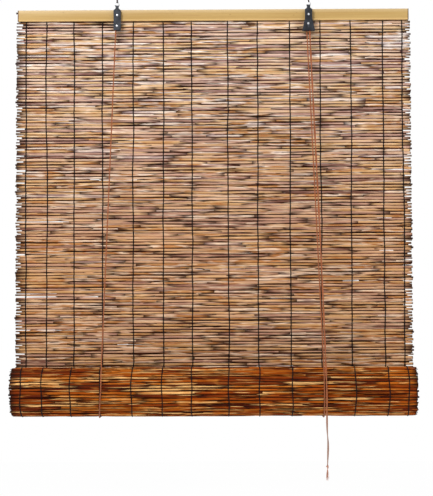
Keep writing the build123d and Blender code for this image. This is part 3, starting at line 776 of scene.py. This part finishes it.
class BLIND_OT_wind_roll(bpy.types.Operator):
    """Wind the rolled-up part of the mat, turn by turn"""

    bl_idname = "reed_blind.wind_roll"
    bl_label = "Roll"

    # Outer turn; heights are in half pitches, and the bend is the most slope and the most bow
    uneven, reed_sink, reed_heights = 0.002, 0.0006, ((0.6, 0.76), (0.84, 1.02))
    bend = (0.0022, 0.0006)
    # Dark strips of painted shade in the joints: inset, sink and half thickness
    core_inset, core_sink, core_depth = 0.004, 0.0004, 0.001
    # Slivers; heights and depth are halves
    sliver_lengths, sliver_heights = (0.03, 0.12), (0.0005, 0.0012)
    sliver_sink, sliver_depth = 0.0009, 0.0012
    sliver_tints = (0.9, 0.86, 0.88, 0.02, 0.04, 0.0)
    # Inner turns: how far a row's ends lie beyond the mat's edge, and heights in half pitches
    inner_ends, inner_heights = (-0.005, 0.002), (0.85, 1.05)
    disc_shift, disc_gap, disc_thickness = 0.008, 0.0006, 0.003
    # Threads; their reach is in pitches
    half_width, half_thickness, reach = 0.0012, 0.0006, 1.12
    slant, bow, sink, sway, sway_rate = 0.0006, 0.001, 0.0005, 0.0011, 70

    def execute(self, context):
        blind = context.scene.reed_blind
        chance = random.Random(blind.mat.seed + 2)
        stub = split_stem("stub_shape", 8, PLAIN_RINGS)
        disc = split_stem("disc_shape", 28, DISC_RINGS)
        masters = (*reed_masters(), stub, disc)
        stitch = split_stem("roll_stitch_shape", 5, STITCH_RINGS)
        reeds, slivers, cores, stubs, stitches = [], [], [], [], []
        for half_turn in range(blind.roll.half_turns):
            is_outer = half_turn < 2
            for place in self.places(blind, half_turn):
                if is_outer:
                    self.outer_row(chance, blind, place, reeds, slivers, cores)
                    self.stitch_row(blind, place, stitches)
                else:
                    self.inner_row(chance, blind, place, stubs)
        roll = lay_kinds("rolled_reeds", masters, (reeds, slivers, cores, stubs, self.discs(blind)))
        dress(roll, roll_finish(), "reed", "mat_roll")
        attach(roll, "roll")
        threads = lay_out("rolled_threads", stitch, stitches)
        dress(threads, thread_finish(), "black_thread", "roll_threads")
        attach(threads, "roll")
        remove(*masters, stitch)
        return {"FINISHED"}

    def places(self, blind, half_turn):
        """Centre, outward and onward directions of each reed along a half turn."""
        radius = blind.roll.radius - half_turn * blind.roll.turn_pitch / 2 - blind.mat.depth / 2
        count = max(int(math.pi * radius / blind.mat.pitch), 3)
        middle_y = ROLL_Y if half_turn % 2 == 0 else ROLL_Y - blind.roll.turn_pitch / 2
        for number in range(count):
            angle = (half_turn % 2) * math.pi + (number + 0.5) * math.pi / count
            outward = Vector((0, math.cos(angle), -math.sin(angle)))
            onward = Vector((0, -math.sin(angle), -math.cos(angle)))
            yield Vector((0, middle_y, ROLL_Z)) + radius * outward, outward, onward

    def outer_row(self, chance, blind, place, reeds, slivers, cores):
        """One row of the outer turn: reeds, dark strips of painted shade in the joint after it, and
        slivers.
        """
        centre, outward, onward = place
        half_pitch = blind.mat.pitch / 2
        depth = blind.mat.depth / 2
        width = blind.mat.half_width
        usual = blind.roll.reed_length
        for x, length in chain_of_reeds(chance, width, usual, self.uneven):
            middle = centre + Vector((x, 0, 0)) - outward * chance.uniform(0, self.reed_sink)
            height = half_pitch * either(chance, *self.reed_heights)
            tint = chance.betavariate(2.4, 1.9)
            reed = lay_reed(chance, middle, length, depth, height, *self.bend, (outward, onward))
            reeds.append((reed, tint))
        # Dark strips of painted shade in the joint after the row
        for x, length in chain_of_reeds(chance, width - self.core_inset, usual, self.uneven):
            middle = centre + Vector((x, 0, 0)) + onward * half_pitch - outward * self.core_sink
            sizes = (length + CORE_OVERLAP, self.core_depth, CORE_HEIGHT)
            cores.append((lay_reed(chance, middle, *sizes, *self.bend, (outward, onward)), 0.0))
        for _ in range(blind.roll.slivers):
            length = chance.uniform(*self.sliver_lengths)
            x = chance.uniform(-1, 1) * (width - length / 2)
            middle = centre + Vector((x, 0, 0)) + outward * (depth - self.sliver_sink)
            middle += onward * half_pitch * chance.uniform(-1.0, 1.0)
            sizes = (length, self.sliver_depth, chance.uniform(*self.sliver_heights))
            tint = chance.choice((*self.sliver_tints, chance.random()))
            slivers.append((lay_reed(chance, middle, *sizes, *self.bend, (outward, onward)), tint))

    def inner_row(self, chance, blind, place, stubs):
        """One row of an inner turn, modelled at both ends of the roll."""
        centre, outward, onward = place
        for side in (-1, 1):
            end = blind.mat.half_width + chance.uniform(*self.inner_ends)
            stub = (
                centre + Vector((side * (end - blind.roll.stub / 2), 0, 0)),
                Vector((side * blind.roll.stub, 0, 0)),
                side * outward * blind.mat.depth / 2,
                onward * blind.mat.pitch / 2 * chance.uniform(*self.inner_heights),
                (0, 0, 0),
            )
            stubs.append((stub, chance.betavariate(2.0, 2.0)))

    def discs(self, blind):
        """Dark discs behind the modelled ends of the inner turns, which close the view through them:
        painted shade of the roll's inside.
        """
        x = blind.mat.half_width - blind.roll.stub + self.disc_shift
        radius = blind.roll.radius - blind.mat.depth + self.disc_gap
        shape = ((self.disc_thickness, 0, 0), (0, radius, 0), (0, 0, radius), (0, 0, 0))
        return [(((side * x, ROLL_Y, ROLL_Z), *shape), 0.0) for side in (-1, 1)]

    def stitch_row(self, blind, place, stitches):
        """The threads' strands over one row of the outer turn."""
        centre, outward, onward = place
        face = centre + outward * (blind.mat.depth / 2 - self.sink)
        shape = (Vector((self.half_width, 0, 0)), outward * self.half_thickness, outward * self.bow)
        for middle in THREAD_PLACES:
            x = middle / 1000 + self.sway * math.sin(self.sway_rate * centre.z + middle)
            for lean in (-1, 1):
                along = onward * blind.mat.pitch * self.reach + Vector((lean * self.slant, 0, 0))
                stitches.append((face + Vector((x, 0, 0)), along, *shape))


# Cords


LIFT_STRANDS = 3
PULL_STRANDS = 2
PULL_STEP = 0.006
STEPS_PER_TURN = 10
# Strands are a little thicker than would fit, so that they press into each other
STRAND_SWELL = 1.08


def smooth_line(points):
    """Points along the smooth spline that a cord's route controls."""
    curve = bpy.data.curves.new("route", "CURVE")
    curve.dimensions = "3D"
    curve.resolution_u = 24
    spline = curve.splines.new("NURBS")
    spline.points.add(len(points) - 1)
    for control, point in zip(spline.points, points):
        control.co = (*point, 1)
    spline.order_u = 3
    spline.use_endpoint_u = True
    route = bpy.data.objects.new("route", curve)
    mesh = bpy.data.meshes.new_from_object(route)
    line = np.array([vertex.co for vertex in mesh.vertices])
    bpy.data.objects.remove(route)
    bpy.data.meshes.remove(mesh)
    return line


def even_line(points, step):
    """The same line with points at even steps."""
    line = smooth_line(points)
    runs = np.linalg.norm(np.diff(line, axis=0), axis=1)
    reach = np.concatenate(([0], np.cumsum(runs)))
    marks = np.linspace(0, reach[-1], max(int(reach[-1] / step), 2) + 1)
    return np.stack([np.interp(marks, reach, line[:, axis]) for axis in range(3)], axis=1), marks


def rope(name, points, diameter, strands, lay, sides=6, step=None):
    """A rope: strands wound round the smooth line of its route, and that line."""
    line, marks = even_line(points, step or lay * diameter / STEPS_PER_TURN)
    ahead = np.gradient(line, axis=0)
    ahead /= np.linalg.norm(ahead, axis=1)[:, None]
    across = np.cross(ahead, (0.0, 1.0, 0.0) if abs(ahead[0][1]) < 0.9 else (1.0, 0.0, 0.0))
    for place in range(1, len(line)):
        drift = across[place - 1] - ahead[place] * np.dot(across[place - 1], ahead[place])
        across[place] = drift / np.linalg.norm(drift)
    across[0] /= np.linalg.norm(across[0])
    third = np.cross(ahead, across)
    share = math.sin(math.pi / strands)
    strand_radius = diameter / 2 * share / (1 + share)
    orbit = diameter / 2 - strand_radius
    ring = np.linspace(0, 2 * math.pi, sides, endpoint=False)[None, :, None]
    around = np.cos(ring) * across[:, None] + np.sin(ring) * third[:, None]
    vertices, faces = [], []
    for strand in range(strands):
        turn = 2 * math.pi * (marks / (lay * diameter) + strand / strands)
        centre = line + orbit * (np.cos(turn)[:, None] * across + np.sin(turn)[:, None] * third)
        first = len(vertices)
        vertices.extend((centre[:, None] + strand_radius * STRAND_SWELL * around).reshape(-1, 3))
        for low in range(first, len(vertices) - sides, sides):
            for side in range(sides):
                after = (side + 1) % sides
                faces.append((low + side, low + after, low + sides + after, low + sides + side))
        faces.append(tuple(first + side for side in reversed(range(sides))))
        faces.append(tuple(len(vertices) - sides + side for side in range(sides)))
    mesh = bpy.data.meshes.new(name)
    mesh.from_pydata([tuple(vertex) for vertex in vertices], [], faces)
    return keep_mesh(name, mesh, ROPE_SMOOTHING), line


class BLIND_OT_lift_cords(bpy.types.Operator):
    """String the two lift cords: down the back, under the roll and up the front"""

    bl_idname = "reed_blind.lift_cords"
    bl_label = "Lift Cords"

    def execute(self, context):
        cord = context.scene.reed_blind.cord
        slings = []
        for side, x, low_shift, foot_shift, block_end in LIFT_CORDS:
            front_foot = self.leg_foot(x + foot_shift, block_end, cord.sling_rise)
            back_foot = (x, BACK_LEG_Y, ROLL_Z + BACK_FOOT_RISE)
            self.leg(f"{side}_lift_front", block_end, front_foot, cord)
            self.leg(f"{side}_lift_back", (x, BACK_LEG_Y, KNOT_Z), back_foot, cord)
            route = self.sling_route(x, x + low_shift, front_foot)
            piece, _ = rope("sling", route, cord.lift, LIFT_STRANDS, cord.lay)
            slings.append(piece)
        bights = join(slings)
        bights.name = "sling_strands"
        dress(bights, copper_cord(), "copper_cord", "lift_slings")
        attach(bights, "sling")
        return {"FINISHED"}

    def leg(self, node, top, foot, cord):
        """One straight leg, which rides on the head."""
        piece, _ = rope(node + "_strands", (top, foot), cord.lift, LIFT_STRANDS, cord.lay)
        dress(piece, copper_cord(), "copper_cord", node)
        leaning(top)
        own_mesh(piece)
        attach(piece, "head")

    def leg_foot(self, x, top, rise):
        """Where a front leg ends: a little up the line from its block that touches the sling."""
        away_y, away_z = top[1] - ROLL_Y, top[2] - ROLL_Z
        angle = math.atan2(away_z, away_y) + math.acos(SLING_RADIUS / math.hypot(away_y, away_z))
        y = ROLL_Y + SLING_RADIUS * math.cos(angle)
        touch = Vector((x, y, ROLL_Z + SLING_RADIUS * math.sin(angle)))
        return touch + rise * (Vector(top) - touch).normalized()

    def sling_route(self, x, low_x, front_foot):
        """Control points of the bight: a polygon round the roll's lower half, up to the front leg."""
        bend = math.pi / SLING_BENDS
        corner = SLING_RADIUS / math.cos(bend / 2)
        points = [(x, ROLL_Y + SLING_RADIUS, ROLL_Z)]
        marks = (0, SLING_BENDS / 2, SLING_BENDS)
        for turned in range(SLING_BENDS):
            angle = bend * (turned + 0.5)
            across = float(np.interp(turned, marks, (x, low_x, front_foot[0])))
            points.append((across, ROLL_Y + corner * math.cos(angle), ROLL_Z - corner * math.sin(angle)))
        points.append((front_foot[0], ROLL_Y - SLING_RADIUS, ROLL_Z + SLING_LIP_RISE))
        points.append(tuple(front_foot))
        return points


class BLIND_OT_pull_cord(bpy.types.Operator):
    """Hang the twisted pull cord over the front of the roll, with its knot and frayed end"""

    bl_idname = "reed_blind.pull_cord"
    bl_label = "Pull Cord"

    knot_diameter, fibre_diameter, tassel_length = 0.0034, 0.0009, 0.0375
    fray_seed, fibres, turn_per_fibre = 8, 22, 2.4
    least_spread, more_spread, curl = 0.0007, 0.0022, 0.0004

    def execute(self, context):
        cord = context.scene.reed_blind.cord
        twist = (cord.pull, PULL_STRANDS, cord.pull_lay)
        piece, line = rope("pull_strands", PULL_ROUTE, *twist, step=PULL_STEP)
        dress(piece, copper_cord(), "copper_cord", "pull_cord", "pull_tail")
        leaning(PULL_ROUTE[0])
        leaning(PULL_TAIL_TOP)
        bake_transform(piece)
        tuft = self.frayed_end(cord)
        leaning(PULL_ROUTE[0])
        [leaning(point) for point in line]
        return {"FINISHED"}

    def frayed_end(self, cord):
        """The overhand knot, with the cord's ends frayed out below it."""
        x, y, top = KNOT_TOP
        turns = [(x + right, y + back, top + up) for right, back, up in KNOT_TURNS]
        knot, _ = rope("pull_knot_turns", turns, self.knot_diameter, PULL_STRANDS, cord.lay)
        tuft = [knot]
        chance = random.Random(self.fray_seed)
        for count in range(self.fibres):
            angle = count * self.turn_per_fibre
            spread = self.least_spread + self.more_spread * chance.random()
            foot = top - self.tassel_length * chance.uniform(0.7, 1.0)
            reach = Vector((math.cos(angle), math.sin(angle), 0)) * spread
            curled = chance.uniform(-self.curl, self.curl)
            route = [
                (x, y, top - 0.0065),
                (x + reach.x * 0.4, y + reach.y * 0.4, top - 0.012),
                (x + reach.x, y + reach.y, (top + foot) / 2 - 0.004),
                (x + reach.x * 1.1 + curled, y + reach.y * 1.1, foot),
            ]
            fibre, _ = rope("fibre", route, self.fibre_diameter, 2, lay=6, sides=4, step=0.0025)
            tuft.append(fibre)
        join(tuft)
        frayed = cord_finish("frayed_cord", shade(214, 158, 132), shade(164, 104, 82))
        dress(knot, frayed, "copper_cord", "pull_knot")
        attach(knot, "pull")
        return knot


class BLIND_OT_finish_solids(bpy.types.Operator):
    """Give the rail, the blocks, the hooks and the fittings their finishes"""

    bl_idname = "reed_blind.finish_solids"
    bl_label = "Rail and Fittings"

    def execute(self, context):
        paint(rail_finish(), "front_batten", "rear_batten", "bottom_pole")
        paint(block_finish(), "left_block_shell", "right_block_shell")
        bright = metal_finish("bright_plate", shade(236, 236, 240), shade(196, 198, 204), 0.18)
        paint(bright, "hanger_bolts", "hanger_nuts", "wire_bails", "batten_staples")
        paint(bright, "left_cord_pin", "right_sheave_pin", "right_sheave", "lock_roller")
        paint(metal_finish("dull_wire", shade(110, 104, 104), shade(66, 60, 60), 0.4), "screw_hooks")
        paint(copper_cord(), "cross_cord", "turn_cord")
        return {"FINISHED"}


class BLIND_OT_set_stage(bpy.types.Operator):
    """Set the floor, the light and the camera"""

    bl_idname = "reed_blind.set_stage"
    bl_label = "Stage"

    floor_size, glow_strength, glow_share = 40, 1.08, 0.85
    sky_on_blind, sky_to_camera = 0.5, 1.0
    sensor_height, view_depth = 36, 60

    def execute(self, context):
        stage = context.scene.reed_blind.stage
        self.set_floor(stage)
        self.set_light(context)
        self.set_camera(context, stage)
        context.scene.view_settings.view_transform = "Standard"
        return {"FINISHED"}

    def set_floor(self, stage):
        """A wide pale floor, which glows for the camera alone."""
        start_clean()
        bpy.ops.mesh.primitive_plane_add(size=self.floor_size, location=(0, 0, stage.floor))
        floor = bpy.context.object
        floor.name = "floor"
        pale = Finish("pale_floor", roughness=0.9)
        clouds = pale.noise(0.6, detail=2)
        pale.finish(pale.ramp(clouds, (0.3, shade(250, 250, 250)), (0.7, shade(255, 255, 255))))
        plain = pale.shader.outputs[0]
        glow = pale.add("Emission", {"Color": (1, 1, 1, 1), "Strength": self.glow_strength})
        both = pale.add("MixShader", {0: self.glow_share, 1: plain, 2: glow.outputs[0]})
        camera_ray = pale.add("LightPath").outputs["Is Camera Ray"]
        seen = pale.add("MixShader", {0: camera_ray, 1: plain, 2: both.outputs[0]})
        pale.feed(pale.tree.nodes["Material Output"].inputs["Surface"], seen.outputs[0])
        floor.data.materials.append(pale.material)

    def set_light(self, context):
        """An even sky, brighter to the eye than to the object, and three soft lamps."""
        world = bpy.data.worlds.new("sky")
        context.scene.world = world
        world.use_nodes = True
        nodes, links = world.node_tree.nodes, world.node_tree.links
        path = nodes.new("ShaderNodeLightPath")
        strength = nodes.new("ShaderNodeMapRange")
        strength.inputs["To Min"].default_value = self.sky_on_blind
        strength.inputs["To Max"].default_value = self.sky_to_camera
        links.new(path.outputs["Is Camera Ray"], strength.inputs["Value"])
        background = nodes["Background"]
        background.inputs["Color"].default_value = (1, 1, 1, 1)
        links.new(strength.outputs[0], background.inputs["Strength"])
        for name, place, size, power in LAMPS:
            lamp = bpy.data.lights.new(name, "AREA")
            lamp.size = size
            lamp.energy = power
            holder = bpy.data.objects.new(name, lamp)
            context.scene.collection.objects.link(holder)
            holder.location = place
            aim = Vector(LAMP_AIM) - Vector(place)
            holder.rotation_euler = aim.to_track_quat("-Z", "Y").to_euler()

    def set_camera(self, context, stage):
        """The camera that sees the blind as the photo does."""
        camera = bpy.data.cameras.new("camera")
        camera.sensor_fit = "VERTICAL"
        camera.sensor_height = self.sensor_height
        camera.lens = stage.lens
        camera.clip_end = self.view_depth
        holder = bpy.data.objects.new("camera", camera)
        context.scene.collection.objects.link(holder)
        pitch, yaw, roll = (math.radians(angle) for angle in stage.turn)
        turn = (
            Matrix.Rotation(-yaw, 4, "Z")
            @ Matrix.Rotation(math.pi / 2 + pitch, 4, "X")
            @ Matrix.Rotation(roll, 4, "Z")
        )
        holder.matrix_world = Matrix.Translation(stage.camera) @ turn
        context.scene.camera = holder


class BLIND_PT_panel(bpy.types.Panel):
    """Steps of dressing the blind"""

    bl_idname = "BLIND_PT_panel"
    bl_label = "Reed Blind"
    bl_space_type = "VIEW_3D"
    bl_region_type = "UI"
    bl_category = "Reed Blind"

    def draw(self, context):
        blind = context.scene.reed_blind
        for settings in (blind.mat, blind.roll, blind.cord, blind.stage):
            box = self.layout.box()
            for name in settings.__annotations__:
                box.prop(settings, name)
        for step in STEPS:
            self.layout.operator(step.bl_idname)


STEPS = (
    BLIND_OT_pull_cord,
    BLIND_OT_lift_cords,
    BLIND_OT_weave_mat,
    BLIND_OT_lay_threads,
    BLIND_OT_wind_roll,
    BLIND_OT_finish_solids,
    BLIND_OT_set_stage,
)
SETTINGS = (MatSettings, RollSettings, CordSettings, StageSettings, BlindSettings)
CLASSES = (*SETTINGS, *STEPS, BLIND_PT_panel)


def register():
    for item in CLASSES:
        bpy.utils.register_class(item)
    bpy.types.Scene.reed_blind = bpy.props.PointerProperty(type=BlindSettings)


def unregister():
    del bpy.types.Scene.reed_blind
    for item in reversed(CLASSES):
        bpy.utils.unregister_class(item)


def main():
    register()
    for step in STEPS:
        group, name = step.bl_idname.split(".")
        getattr(getattr(bpy.ops, group), name)()


if __name__ == "__main__":
    main()
